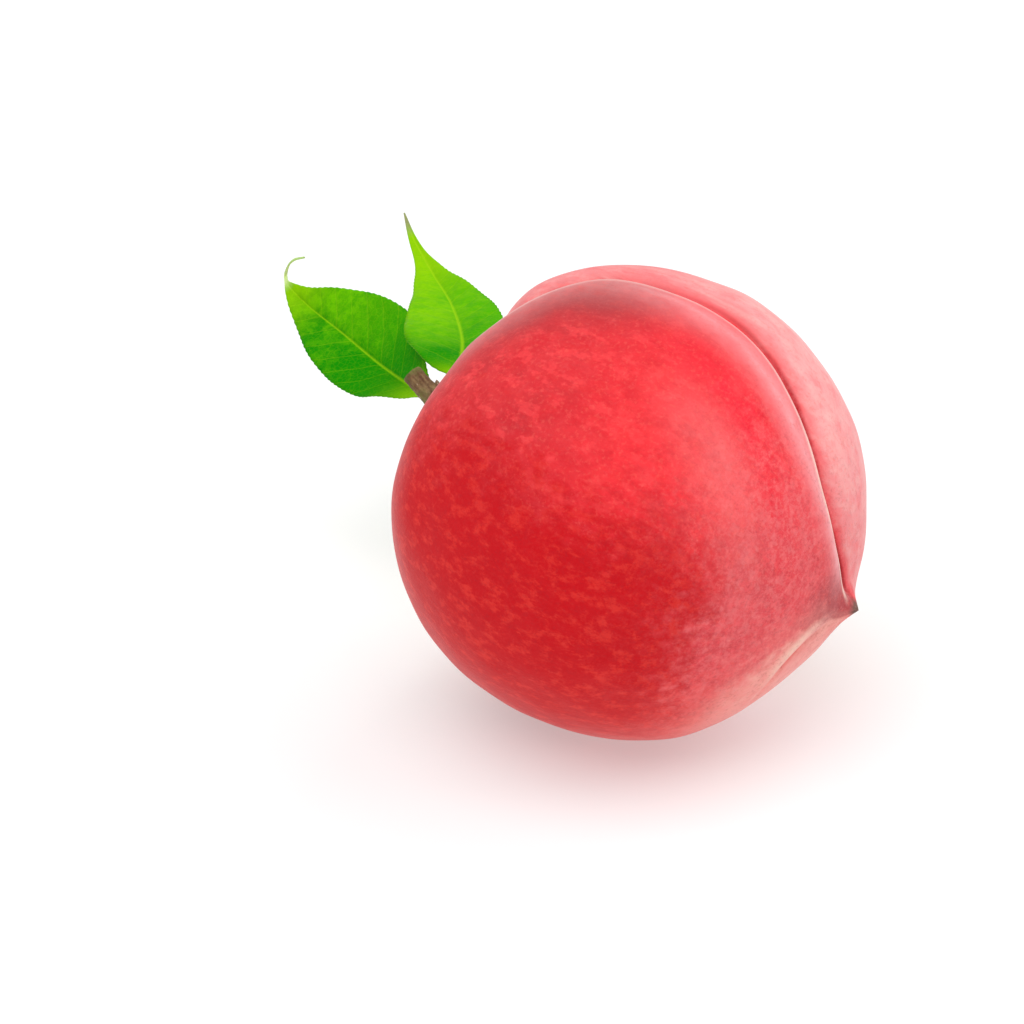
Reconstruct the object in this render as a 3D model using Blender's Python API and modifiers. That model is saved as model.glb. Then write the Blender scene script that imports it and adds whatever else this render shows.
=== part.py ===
"""A ripe peach with a short piece of its twig and two leaves.

The fruit lies on a small flat spot, with its seam on top and its stem end a little
higher than its pointed tip. Units are metres and +Z is up. The origin is the middle
of the flat spot, the tip points to +X and the stem end to -X.
"""
import math

import bmesh
import bpy
import numpy as np
from mathutils import Matrix, Vector

NAME = "peach"

# Fruit. Angles are in degrees: theta from the stem end, phi round it from the top.
FRUIT_RADIUS = 0.0369
FRUIT_CENTRE = Vector((0.0, 0.0, 0.0360))
STEM_END_RISE = 12.9
SHOULDER_HEIGHT, SHOULDER_AT, SHOULDER_SPREAD = 0.0012, 61, 26
CHEEK_SHOULDER_HEIGHT, CHEEK_SHOULDER_AT, CHEEK_SHOULDER_SPREAD = 0.0024, 36, 22
FAR_CHEEK_SHARE = 0.5
FAR_SHOULDER_HEIGHT, FAR_SHOULDER_AT, FAR_SHOULDER_SPREAD = 0.0022, 32, 24
NEAR_CHEEK_HEIGHT = 0.00035
TIP_END_TAPER, TAPER_FROM, TAPER_TO = 0.0013, 100, 165
CAVITY_DEPTH, CAVITY_SPREAD, CAVITY_POWER = 0.0150, 24, 2.4
TIP_HEIGHT, TIP_SPREAD, TIP_POWER = 0.0027, 4.6, 1.1
TIP_FOOT_HEIGHT, TIP_FOOT_SPREAD = 0.0006, 24
MERIDIANS, RINGS = 72, 44
SEAM_CROWDING = 0.62

# Seam: a groove with a rounded lip on each side, shallower near the tip. Its middle strays
# from the top, to the far cheek halfway along and to the near cheek towards both ends.
SEAM_STEM_TURN, SEAM_STEM_FROM, SEAM_STEM_TO = 17.0, 72, 34
SEAM_HALFWAY_TURN, SEAM_HALFWAY_AT, SEAM_HALFWAY_SPREAD = -5.9, 90, 40
SEAM_TIP_TURN, SEAM_TIP_AT, SEAM_TIP_SPREAD = 8.0, 157, 24
GROOVE_DEPTH, GROOVE_NEAR_WIDTH, GROOVE_FAR_WIDTH = 0.0033, 0.0023, 0.0039
STEM_END_DEEPER, TIP_END_SHARE = 0.0009, 0.40
SEAM_RUN_OUT = 0.0035
LIP_HEIGHT = 0.0004
NEAR_LIP_AT, NEAR_LIP_WIDTH = 0.0050, 0.0032
FAR_LIP_AT, FAR_LIP_WIDTH, FAR_LIP_SHARE = 0.0085, 0.0050, 0.8

# Twig: its middle line from the bottom of the stem cavity to the cut end.
TWIG_LINE = (
    (-0.0225, 0.0000, 0.0412), (-0.0290, 0.0002, 0.0428), (-0.0340, 0.0012, 0.0441),
    (-0.0380, 0.0027, 0.0450), (-0.0415, 0.0038, 0.0464), (-0.0445, 0.0042, 0.0486),
)
TWIG_RADIUS = 0.0017
TWIG_POINTS = 18
TWIG_FLARE, TWIG_FLARE_LENGTH = 0.25, 0.0030
TWIG_NODE_SWELL, TWIG_NODE_AT, TWIG_NODE_LENGTH = 0.10, 0.0175, 0.0030

# Leaves: the midrib's line, the direction across the blade at its base and its tip, and for
# each side of the midrib its half-width, how fully it rises from the base and falls to the
# tip, and how the drip tip widens.
LEAF_THICKNESS = 0.0006
LEAF_ROWS, LEAF_COLUMNS = 36, 6
LEAVES = {
    "leaf_right": {
        "midrib": (
            (-0.0379, 0.0050, 0.0461), (-0.0399, 0.0118, 0.0481), (-0.0462, 0.0234, 0.0481),
            (-0.0568, 0.0375, 0.0479), (-0.0672, 0.0484, 0.0484), (-0.0761, 0.0563, 0.0512),
            (-0.0809, 0.0605, 0.0546),
        ),
        "across": ((0.951, 0.306, 0.040), (0.971, 0.185, 0.149)),
        "sides": ((0.0074, 0.72, 1.39, 0.065), (0.0095, 0.70, 1.50, 0.125)),
        "stalk": 0.007, "drip": 0.015, "fold": 10, "curl": 10.0,
    },
    "leaf_left": {
        "midrib": (
            (-0.0402, 0.0057, 0.0450), (-0.0494, 0.0140, 0.0411), (-0.0648, 0.0266, 0.0382),
            (-0.0774, 0.0330, 0.0400), (-0.0871, 0.0373, 0.0417), (-0.0932, 0.0399, 0.0436),
            (-0.0962, 0.0425, 0.0444), (-0.0961, 0.0430, 0.0465), (-0.0946, 0.0429, 0.0482),
            (-0.0918, 0.0425, 0.0493),
        ),
        "across": ((0.156, 0.821, 0.550), (0.297, 0.622, 0.724)),
        "sides": ((0.0110, 1.60, 1.62, 0.022), (0.0086, 1.70, 1.50, 0.030)),
        "stalk": 0.007, "drip": 0.012, "fold": 18, "curl": 10.0,
    },
}
STALK_HALF_WIDTH = 0.00055
TIP_HALF_WIDTH = 0.00015
DRIP_HALF_WIDTH = 0.0030


def clear_scene():
    for old in list(bpy.data.objects):
        bpy.data.objects.remove(old, do_unlink=True)


def new_collection(name):
    collection = bpy.data.collections.new(name)
    bpy.context.scene.collection.children.link(collection)
    return collection


def new_material(name, colour, roughness):
    material = bpy.data.materials.new(name)
    material.use_nodes = True
    shader = material.node_tree.nodes["Principled BSDF"]
    shader.inputs["Base Color"].default_value = (*colour, 1.0)
    shader.inputs["Roughness"].default_value = roughness
    shader.inputs["Metallic"].default_value = 0.0
    return material


def add_object(name, data, material, collection):
    made = bpy.data.objects.new(name, data)
    data.materials.append(material)
    collection.objects.link(made)
    return made


def ramp(low, high, x):
    """A smooth step from 0 at low to 1 at high."""
    t = np.clip((x - low) / (high - low), 0.0, 1.0)
    return t * t * (3.0 - 2.0 * t)


def bell(x, middle, spread, power=2.0):
    """A smooth hump of height 1 round middle."""
    return np.exp(-(np.abs(x - middle) / spread) ** power)


def seam_middle(theta):
    """How far round from the top the seam's middle lies, positive to the near cheek."""
    middle = SEAM_STEM_TURN * ramp(SEAM_STEM_FROM, SEAM_STEM_TO, theta)
    middle = middle + SEAM_HALFWAY_TURN * bell(theta, SEAM_HALFWAY_AT, SEAM_HALFWAY_SPREAD)
    return middle + SEAM_TIP_TURN * bell(theta, SEAM_TIP_AT, SEAM_TIP_SPREAD)


def seam(theta, phi):
    """Height of the seam's lips less the depth of its groove."""
    phi = phi - seam_middle(theta)
    from_tip = 180.0 - theta
    ring = FRUIT_RADIUS * np.sin(np.radians(theta))
    across = ring * np.sin(np.radians(phi))
    on_top = ramp(0.0, SEAM_RUN_OUT, ring * np.cos(np.radians(phi)))
    depth = GROOVE_DEPTH + STEM_END_DEEPER * bell(theta, 24, 16)
    depth = depth * (TIP_END_SHARE + (1.0 - TIP_END_SHARE) * ramp(6, 36, from_tip))
    width = np.where(across > 0.0, GROOVE_NEAR_WIDTH, GROOVE_FAR_WIDTH)
    groove = depth * bell(across, 0.0, width, 1.25)
    lips = bell(across, NEAR_LIP_AT, NEAR_LIP_WIDTH)
    lips = lips + FAR_LIP_SHARE * bell(across, -FAR_LIP_AT, FAR_LIP_WIDTH)
    return on_top * (LIP_HEIGHT * lips * ramp(12, 35, theta) * ramp(0, 25, from_tip) - groove)


def fruit_radius(theta, phi):
    """Distance from the fruit's centre to its skin, theta and phi in degrees."""
    from_tip = 180.0 - theta
    near = np.sin(np.radians(theta)) * np.sin(np.radians(phi))
    up = np.sin(np.radians(theta)) * np.cos(np.radians(phi))
    radius = FRUIT_RADIUS + SHOULDER_HEIGHT * bell(theta, SHOULDER_AT, SHOULDER_SPREAD)
    cheek = np.sin(np.radians(phi)) ** 2 * np.where(near > 0.0, 1.0, FAR_CHEEK_SHARE)
    radius = radius + CHEEK_SHOULDER_HEIGHT * bell(theta, CHEEK_SHOULDER_AT, CHEEK_SHOULDER_SPREAD) * cheek
    far_top = np.clip(0.35 - near, 0.0, None) * np.clip(up + 0.3, 0.0, None)
    radius = radius + FAR_SHOULDER_HEIGHT * bell(theta, FAR_SHOULDER_AT, FAR_SHOULDER_SPREAD) * far_top
    radius = radius + NEAR_CHEEK_HEIGHT * near - TIP_END_TAPER * ramp(TAPER_FROM, TAPER_TO, theta)
    radius = radius - CAVITY_DEPTH * bell(theta, 0.0, CAVITY_SPREAD, CAVITY_POWER)
    radius = radius + TIP_HEIGHT * bell(from_tip, 0.0, TIP_SPREAD, TIP_POWER)
    radius = radius + TIP_FOOT_HEIGHT * bell(from_tip, 0.0, TIP_FOOT_SPREAD)
    return radius + seam(theta, phi)


def make_fruit(collection):
    """A sphere whose poles are the stem end and the tip, its meridians crowded along the seam,
    pushed out to the skin and cut flat below."""
    shape = bmesh.new()
    bmesh.ops.create_uvsphere(shape, u_segments=MERIDIANS, v_segments=RINGS, radius=1.0)
    for vertex in shape.verts:
        theta = math.acos(max(-1.0, min(1.0, vertex.co.z)))
        turn = math.atan2(vertex.co.y, vertex.co.x)
        turn = turn - SEAM_CROWDING * math.sin(turn)
        turn = turn - math.radians(seam_middle(math.degrees(theta))) * (0.5 + 0.5 * math.cos(turn))
        skin = float(fruit_radius(math.degrees(theta), math.degrees(-turn)))
        ring = skin * math.sin(theta)
        vertex.co = (ring * math.cos(turn), ring * math.sin(turn), skin * math.cos(theta))
    place = Matrix.Translation(FRUIT_CENTRE) @ Matrix.Rotation(-math.radians(90 - STEM_END_RISE), 4, "Y")
    back = place.inverted()
    down = (back.to_3x3() @ Vector((0.0, 0.0, -1.0))).normalized()
    everything = shape.verts[:] + shape.edges[:] + shape.faces[:]
    bmesh.ops.bisect_plane(shape, geom=everything, dist=1e-6, plane_co=back @ Vector(), plane_no=down,
                           clear_outer=True)
    open_edges = [edge for edge in shape.edges if edge.is_boundary]
    bmesh.ops.contextual_create(shape, geom=open_edges)
    bmesh.ops.recalc_face_normals(shape, faces=shape.faces[:])
    mesh = bpy.data.meshes.new("fruit")
    shape.to_mesh(mesh)
    shape.free()
    mesh.shade_smooth()
    mesh.set_sharp_from_angle(angle=math.radians(60))
    fruit = add_object("fruit", mesh, new_material("peach_skin", (0.78, 0.09, 0.08), 0.55), collection)
    fruit.matrix_world = place
    return fruit


def smooth_line(points, steps):
    """Evenly spaced points on a smooth curve through the given ones, and the curve's length."""
    knots = np.array(points)
    knots = np.vstack([2 * knots[0] - knots[1], knots, 2 * knots[-1] - knots[-2]])
    t = np.linspace(0.0, 1.0, 24, endpoint=False)[:, None]
    line = []
    for a, b, c, d in zip(knots, knots[1:], knots[2:], knots[3:]):
        bend = (2 * a - 5 * b + 4 * c - d) * t ** 2 + (3 * b - 3 * c + d - a) * t ** 3
        line.append(b + 0.5 * ((c - a) * t + bend))
    line = np.vstack(line + [knots[-2:-1]])
    along = np.concatenate([[0.0], np.cumsum(np.linalg.norm(np.diff(line, axis=0), axis=1))])
    even = np.linspace(0.0, along[-1], steps)
    return np.stack([np.interp(even, along, line[:, axis]) for axis in range(3)], axis=1), along[-1]


def make_twig(collection):
    """A round woody piece, flared where it meets the fruit and swollen where the leaves grow."""
    line, length = smooth_line(TWIG_LINE, TWIG_POINTS)
    curve = bpy.data.curves.new("twig", "CURVE")
    curve.dimensions = "3D"
    curve.bevel_depth = TWIG_RADIUS
    curve.bevel_resolution = 4
    curve.use_fill_caps = True
    spline = curve.splines.new("POLY")
    spline.points.add(TWIG_POINTS - 1)
    for index, (point, place) in enumerate(zip(spline.points, line)):
        along = length * index / (TWIG_POINTS - 1)
        point.co = (*place, 1.0)
        point.radius = 1.0 + float(TWIG_FLARE * bell(along, 0.0, TWIG_FLARE_LENGTH)
                                   + TWIG_NODE_SWELL * bell(along, TWIG_NODE_AT, TWIG_NODE_LENGTH))
    return add_object("twig", curve, new_material("twig_bark", (0.20, 0.12, 0.06), 0.8), collection)


def leaf_half_width(along, length, leaf, side):
    """How far a side of the leaf reaches from the midrib: a narrow stalk, a lance-shaped blade
    and a long drip tip."""
    half_width, rise, fall, tip_slope = leaf["sides"][side]
    widest = rise / (rise + fall)
    start = 0.6 * leaf["stalk"]
    x = np.clip((along - start) / (length - start - 0.6 * leaf["drip"]), 0.0, 1.0)
    blade = half_width * (x / widest) ** rise * ((1 - x) / (1 - widest)) ** fall
    tip = np.minimum(TIP_HALF_WIDTH + tip_slope * (length - along), DRIP_HALF_WIDTH)
    narrow = STALK_HALF_WIDTH + (tip - STALK_HALF_WIDTH) * ramp(0.3 * widest, widest, x)
    return np.sqrt(blade ** 2 + narrow ** 2)


def leaf_frame(line, leaf):
    """Directions across the blade and out of its upper face, at each point of the midrib."""
    forward = np.gradient(line, axis=0)
    forward /= np.linalg.norm(forward, axis=1)[:, None]
    share = ramp(0.15, 0.9, np.linspace(0.0, 1.0, len(line)))[:, None]
    base, tip = np.array(leaf["across"])
    across = base * (1 - share) + tip * share
    across -= forward * np.sum(across * forward, axis=1)[:, None]
    across /= np.linalg.norm(across, axis=1)[:, None]
    return across, np.cross(across, forward)


def make_leaf(name, leaf, material, collection):
    """A grid swept along the midrib, folded a little there and curled at its margins."""
    line, length = smooth_line(leaf["midrib"], LEAF_ROWS + 1)
    across, upper = leaf_frame(line, leaf)
    shape = bmesh.new()
    bmesh.ops.create_grid(shape, x_segments=LEAF_ROWS, y_segments=LEAF_COLUMNS, size=1.0)
    for vertex in shape.verts:
        u = (vertex.co.x + 1.0) / 2.0
        row = round(u * LEAF_ROWS)
        half = float(leaf_half_width(u * length, length, leaf, 0 if vertex.co.y < 0.0 else 1))
        out = abs(vertex.co.y) * half
        fold = math.radians(leaf["fold"]) * float(ramp(0.0, 0.25, u))
        lift = math.sin(fold) * out - leaf["curl"] * out ** 2
        side = -math.copysign(math.cos(fold) * out, vertex.co.y)
        vertex.co = line[row] + side * across[row] + lift * upper[row]
    mesh = bpy.data.meshes.new(name)
    shape.to_mesh(mesh)
    shape.free()
    mesh.shade_smooth()
    made = add_object(name, mesh, material, collection)
    solid = made.modifiers.new("thickness", "SOLIDIFY")
    solid.thickness = LEAF_THICKNESS
    solid.offset = 0.0
    solid.use_even_offset = True
    return made


def main():
    clear_scene()
    parts = new_collection(NAME)
    make_fruit(parts)
    make_twig(parts)
    green = new_material("leaf_green", (0.10, 0.42, 0.01), 0.4)
    for name, leaf in LEAVES.items():
        make_leaf(name, leaf, green, parts)


main()
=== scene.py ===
"""The looks of a ripe peach with a short twig and two leaves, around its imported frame.

The fruit's skin, the leaves and the twig follow the same formulas as the CAD solids, on
finer meshes and with the detail that the solids leave out. Units are metres.
"""
import math

import bmesh
import bpy
import numpy as np
from mathutils import Matrix, Vector


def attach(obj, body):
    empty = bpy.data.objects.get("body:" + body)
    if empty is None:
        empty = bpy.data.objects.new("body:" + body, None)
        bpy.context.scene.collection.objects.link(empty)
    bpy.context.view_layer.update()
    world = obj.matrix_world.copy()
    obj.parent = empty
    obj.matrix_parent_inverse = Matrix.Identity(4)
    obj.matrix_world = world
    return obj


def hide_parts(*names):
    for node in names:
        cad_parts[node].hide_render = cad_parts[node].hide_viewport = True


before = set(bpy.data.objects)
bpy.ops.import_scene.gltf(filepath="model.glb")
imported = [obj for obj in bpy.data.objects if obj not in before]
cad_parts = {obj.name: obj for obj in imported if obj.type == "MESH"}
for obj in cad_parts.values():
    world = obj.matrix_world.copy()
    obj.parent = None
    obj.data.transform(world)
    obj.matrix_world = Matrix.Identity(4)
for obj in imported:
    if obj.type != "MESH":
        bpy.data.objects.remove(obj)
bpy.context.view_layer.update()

# Fruit. Angles are in degrees: theta from the stem end, phi round it from the top.
FRUIT_RADIUS = 0.0369
FRUIT_CENTRE = Vector((0.0, 0.0, 0.0360))
STEM_END_RISE = 12.9
SHOULDER_HEIGHT, SHOULDER_AT, SHOULDER_SPREAD = 0.0012, 61, 26
CHEEK_SHOULDER_HEIGHT, CHEEK_SHOULDER_AT, CHEEK_SHOULDER_SPREAD = 0.0024, 36, 22
FAR_CHEEK_SHARE = 0.5
FAR_SHOULDER_HEIGHT, FAR_SHOULDER_AT, FAR_SHOULDER_SPREAD = 0.0022, 32, 24
NEAR_CHEEK_HEIGHT = 0.00035
TIP_END_TAPER, TAPER_FROM, TAPER_TO = 0.0013, 100, 165
CAVITY_DEPTH, CAVITY_SPREAD, CAVITY_POWER = 0.0150, 24, 2.4
TIP_HEIGHT, TIP_SPREAD, TIP_POWER = 0.0027, 4.6, 1.1
TIP_FOOT_HEIGHT, TIP_FOOT_SPREAD = 0.0006, 24
MERIDIANS, RINGS = 360, 260
SEAM_CROWDING = 0.62

# Seam: a groove with a rounded lip on each side, shallower near the tip. Its middle strays
# from the top, to the far cheek halfway along and to the near cheek towards both ends.
SEAM_STEM_TURN, SEAM_STEM_FROM, SEAM_STEM_TO = 17.0, 72, 34
SEAM_HALFWAY_TURN, SEAM_HALFWAY_AT, SEAM_HALFWAY_SPREAD = -5.9, 90, 40
SEAM_TIP_TURN, SEAM_TIP_AT, SEAM_TIP_SPREAD = 8.0, 157, 24
GROOVE_DEPTH, GROOVE_NEAR_WIDTH, GROOVE_FAR_WIDTH = 0.0033, 0.0023, 0.0039
STEM_END_DEEPER, TIP_END_SHARE = 0.0009, 0.40
SEAM_RUN_OUT = 0.0035
LIP_HEIGHT = 0.0004
NEAR_LIP_AT, NEAR_LIP_WIDTH = 0.0050, 0.0032
FAR_LIP_AT, FAR_LIP_WIDTH, FAR_LIP_SHARE = 0.0085, 0.0050, 0.8

# Twig: its middle line from the bottom of the stem cavity to the cut end.
TWIG_LINE = (
    (-0.0225, 0.0000, 0.0412), (-0.0290, 0.0002, 0.0428), (-0.0340, 0.0012, 0.0441),
    (-0.0380, 0.0027, 0.0450), (-0.0415, 0.0038, 0.0464), (-0.0445, 0.0042, 0.0486),
)
TWIG_RADIUS = 0.0017
TWIG_FLARE, TWIG_FLARE_LENGTH = 0.25, 0.0030
TWIG_NODE_SWELL, TWIG_NODE_AT, TWIG_NODE_LENGTH = 0.10, 0.0175, 0.0030

# Leaves: the midrib's line, the direction across the blade at its base and its tip, and for
# each side of the midrib its half-width, how fully it rises from the base and falls to the
# tip, and how the drip tip widens.
LEAVES = {
    "leaf_right": {
        "midrib": (
            (-0.0379, 0.0050, 0.0461), (-0.0399, 0.0118, 0.0481), (-0.0462, 0.0234, 0.0481),
            (-0.0568, 0.0375, 0.0479), (-0.0672, 0.0484, 0.0484), (-0.0761, 0.0563, 0.0512),
            (-0.0809, 0.0605, 0.0546),
        ),
        "across": ((0.951, 0.306, 0.040), (0.971, 0.185, 0.149)),
        "sides": ((0.0074, 0.72, 1.39, 0.065), (0.0095, 0.70, 1.50, 0.125)),
        "stalk": 0.007, "drip": 0.015, "fold": 10, "curl": 10.0, "wave": 0.0002, "wave_start": 0.4,
    },
    "leaf_left": {
        "midrib": (
            (-0.0402, 0.0057, 0.0450), (-0.0494, 0.0140, 0.0411), (-0.0648, 0.0266, 0.0382),
            (-0.0774, 0.0330, 0.0400), (-0.0871, 0.0373, 0.0417), (-0.0932, 0.0399, 0.0436),
            (-0.0962, 0.0425, 0.0444), (-0.0961, 0.0430, 0.0465), (-0.0946, 0.0429, 0.0482),
            (-0.0918, 0.0425, 0.0493),
        ),
        "across": ((0.156, 0.821, 0.550), (0.297, 0.622, 0.724)),
        "sides": ((0.0110, 1.60, 1.62, 0.022), (0.0086, 1.70, 1.50, 0.030)),
        "stalk": 0.007, "drip": 0.012, "fold": 18, "curl": 10.0, "wave": 0.0003, "wave_start": 2.1,
    },
}
STALK_HALF_WIDTH = 0.00055
STALK_FOOT, STALK_FOOT_LENGTH = 0.00022, 0.0010
TIP_HALF_WIDTH = 0.00015
DRIP_HALF_WIDTH = 0.0030

# Camera and light.
CAMERA_TURN, CAMERA_RISE = 29.608, 25.0
CAMERA_LENS, CAMERA_DISTANCE = 85, 0.3834
CAMERA_AIM_LEFT, CAMERA_AIM_DOWN = 0.01998, 0.00079


def ramp(low, high, x):
    """A smooth step from 0 at low to 1 at high."""
    t = np.clip((x - low) / (high - low), 0.0, 1.0)
    return t * t * (3.0 - 2.0 * t)


def bell(x, middle, spread, power=2.0):
    """A smooth hump of height 1 round middle."""
    return np.exp(-(np.abs(x - middle) / spread) ** power)


def smooth_line(points, steps):
    """Evenly spaced points on a smooth curve through the given ones, and the curve's length."""
    knots = np.array(points)
    knots = np.vstack([2 * knots[0] - knots[1], knots, 2 * knots[-1] - knots[-2]])
    t = np.linspace(0.0, 1.0, 24, endpoint=False)[:, None]
    line = []
    for a, b, c, d in zip(knots, knots[1:], knots[2:], knots[3:]):
        bend = (2 * a - 5 * b + 4 * c - d) * t ** 2 + (3 * b - 3 * c + d - a) * t ** 3
        line.append(b + 0.5 * ((c - a) * t + bend))
    line = np.vstack(line + [knots[-2:-1]])
    along = np.concatenate([[0.0], np.cumsum(np.linalg.norm(np.diff(line, axis=0), axis=1))])
    even = np.linspace(0.0, along[-1], steps)
    return np.stack([np.interp(even, along, line[:, axis]) for axis in range(3)], axis=1), along[-1]


def add_piece(name, mesh, material):
    mesh.materials.append(material)
    made = bpy.data.objects.new(name, mesh)
    bpy.context.scene.collection.objects.link(made)
    return made


class Graph:
    """The nodes of one material, with short names for the kinds it uses."""

    def __init__(self, name):
        self.material = bpy.data.materials.new(name)
        self.material.use_nodes = True
        self.tree = self.material.node_tree
        self.shader = self.tree.nodes["Principled BSDF"]

    def node(self, kind, inputs, **settings):
        made = self.tree.nodes.new(kind)
        for name, value in settings.items():
            setattr(made, name, value)
        for name, value in inputs.items():
            self.put(made.inputs[name], value)
        return made

    def put(self, socket, value):
        if isinstance(value, bpy.types.NodeSocket):
            self.tree.links.new(value, socket)
        else:
            socket.default_value = value

    def math(self, operation, *values):
        return self.node("ShaderNodeMath", dict(enumerate(values)), operation=operation).outputs[0]

    def plus(self, first, *others):
        for other in others:
            first = self.math("ADD", first, other)
        return first

    def times(self, first, *others):
        for other in others:
            first = self.math("MULTIPLY", first, other)
        return first

    def minus(self, a, b):
        return self.math("SUBTRACT", a, b)

    def ratio(self, a, b):
        return self.math("DIVIDE", a, b)

    def vector(self, operation, *values):
        inputs = dict(enumerate(values))
        return self.node("ShaderNodeVectorMath", inputs, operation=operation).outputs[0]

    def attribute(self, name):
        return self.node("ShaderNodeAttribute", {}, attribute_name=name).outputs["Vector"]

    def split(self, vector):
        return self.node("ShaderNodeSeparateXYZ", {0: vector}).outputs

    def scaled(self, vector, *sizes):
        return self.vector("MULTIPLY", vector, sizes)

    def step(self, value, low, high):
        """A smooth step from 0 at low to 1 at high."""
        inputs = {"Value": value, "From Min": low, "From Max": high}
        return self.node("ShaderNodeMapRange", inputs, interpolation_type="SMOOTHSTEP").outputs[0]

    def between(self, value, low, high, at_low, at_high):
        """A straight change from at_low to at_high as value goes from low to high."""
        inputs = {"Value": value, "From Min": low, "From Max": high,
                  "To Min": at_low, "To Max": at_high}
        return self.node("ShaderNodeMapRange", inputs).outputs[0]

    def hump(self, value, middle, spread):
        """1 at middle, falling smoothly to 0 at spread on each side."""
        away = self.math("ABSOLUTE", self.minus(value, middle))
        return self.step(away, spread, 0.0)

    def noise(self, vector, scale, detail=2.0, roughness=0.5):
        inputs = {"Vector": vector, "Scale": scale, "Detail": detail, "Roughness": roughness}
        return self.node("ShaderNodeTexNoise", inputs).outputs[0]

    def blend(self, share, a, b):
        """A number that goes from a to b as share goes from 0 to 1."""
        return self.node("ShaderNodeMix", {0: share, 2: a, 3: b}).outputs[0]

    def mix(self, share, a, b):
        """A colour that goes from a to b as share goes from 0 to 1."""
        made = self.node("ShaderNodeMix", {0: share}, data_type="RGBA")
        for socket, value in zip((made.inputs[6], made.inputs[7]), (a, b)):
            self.put(socket, value if isinstance(value, bpy.types.NodeSocket) else (*value, 1.0))
        return made.outputs[2]

    def bump(self, height, distance, strength):
        inputs = {"Height": height, "Distance": distance, "Strength": strength}
        return self.node("ShaderNodeBump", inputs).outputs[0]

    def finish(self, **sockets):
        for name, value in sockets.items():
            self.put(self.shader.inputs[name.replace("_", " ")], value)
        return self.material


# ---- fruit

def seam_middle(theta):
    """How far round from the top the seam's middle lies, positive to the near cheek."""
    middle = SEAM_STEM_TURN * ramp(SEAM_STEM_FROM, SEAM_STEM_TO, theta)
    middle = middle + SEAM_HALFWAY_TURN * bell(theta, SEAM_HALFWAY_AT, SEAM_HALFWAY_SPREAD)
    return middle + SEAM_TIP_TURN * bell(theta, SEAM_TIP_AT, SEAM_TIP_SPREAD)


def across_seam(theta, phi):
    """How far a place is from the seam's middle, positive to the near cheek, and how far
    round towards the seam's side of the fruit."""
    ring = FRUIT_RADIUS * np.sin(np.radians(theta))
    turn = np.radians(phi - seam_middle(theta))
    return ring * np.sin(turn), ring * np.cos(turn)


def seam(theta, phi):
    """Height of the seam's lips less the depth of its groove."""
    across, up = across_seam(theta, phi)
    from_tip = 180.0 - theta
    depth = GROOVE_DEPTH + STEM_END_DEEPER * bell(theta, 24, 16)
    depth = depth * (TIP_END_SHARE + (1.0 - TIP_END_SHARE) * ramp(6, 36, from_tip))
    width = np.where(across > 0.0, GROOVE_NEAR_WIDTH, GROOVE_FAR_WIDTH)
    groove = depth * bell(across, 0.0, width, 1.25)
    lips = bell(across, NEAR_LIP_AT, NEAR_LIP_WIDTH)
    lips = lips + FAR_LIP_SHARE * bell(across, -FAR_LIP_AT, FAR_LIP_WIDTH)
    lips = LIP_HEIGHT * lips * ramp(12, 35, theta) * ramp(0, 25, from_tip)
    return ramp(0.0, SEAM_RUN_OUT, up) * (lips - groove)


def fruit_radius(theta, phi):
    """Distance from the fruit's centre to its skin, theta and phi in degrees."""
    from_tip = 180.0 - theta
    near = np.sin(np.radians(theta)) * np.sin(np.radians(phi))
    up = np.sin(np.radians(theta)) * np.cos(np.radians(phi))
    radius = FRUIT_RADIUS + SHOULDER_HEIGHT * bell(theta, SHOULDER_AT, SHOULDER_SPREAD)
    cheek = np.sin(np.radians(phi)) ** 2 * np.where(near > 0.0, 1.0, FAR_CHEEK_SHARE)
    radius = radius + CHEEK_SHOULDER_HEIGHT * bell(theta, CHEEK_SHOULDER_AT, CHEEK_SHOULDER_SPREAD) * cheek
    far_top = np.clip(0.35 - near, 0.0, None) * np.clip(up + 0.3, 0.0, None)
    radius = radius + FAR_SHOULDER_HEIGHT * bell(theta, FAR_SHOULDER_AT, FAR_SHOULDER_SPREAD) * far_top
    radius = radius + NEAR_CHEEK_HEIGHT * near - TIP_END_TAPER * ramp(TAPER_FROM, TAPER_TO, theta)
    radius = radius - CAVITY_DEPTH * bell(theta, 0.0, CAVITY_SPREAD, CAVITY_POWER)
    radius = radius + TIP_HEIGHT * bell(from_tip, 0.0, TIP_SPREAD, TIP_POWER)
    radius = radius + TIP_FOOT_HEIGHT * bell(from_tip, 0.0, TIP_FOOT_SPREAD)
    return radius + seam(theta, phi)


# Small forms: heights and widths in metres, turns in degrees. The scar is the faint seam below
# the tip. At the tip it lies SCAR_TURN round from the top, and it turns on by SCAR_LEAN for each
# degree from there. UNEVENNESS holds the height, the lowest and highest pace and the number of
# the waves that make the skin a little uneven.
CREASE_DEPTH, CREASE_HALF_WIDTH, CREASE_RUN_OUT = 0.00045, 0.00045, 0.003
SCAR_TURN, SCAR_LEAN, SCAR_BENDS_TO = 64.0, 2.3, 36.0
SCAR_HEIGHT, SCAR_HALF_WIDTH = 0.00016, 0.0016
SCAR_GROOVE_DEPTH, SCAR_GROOVE_AT, SCAR_GROOVE_WIDTH = 0.00030, 0.0023, 0.0008
STEM_PUCKERS, STEM_PUCKER_HEIGHT = 11, 0.00012
TIP_PUCKERS, TIP_PUCKER_HEIGHT = 9, 0.00005
UNEVENNESS = ((0.00008, 5, 12, 8), (0.00002, 18, 34, 14))
REST_EDGE_ROUNDING = 0.0002


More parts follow.
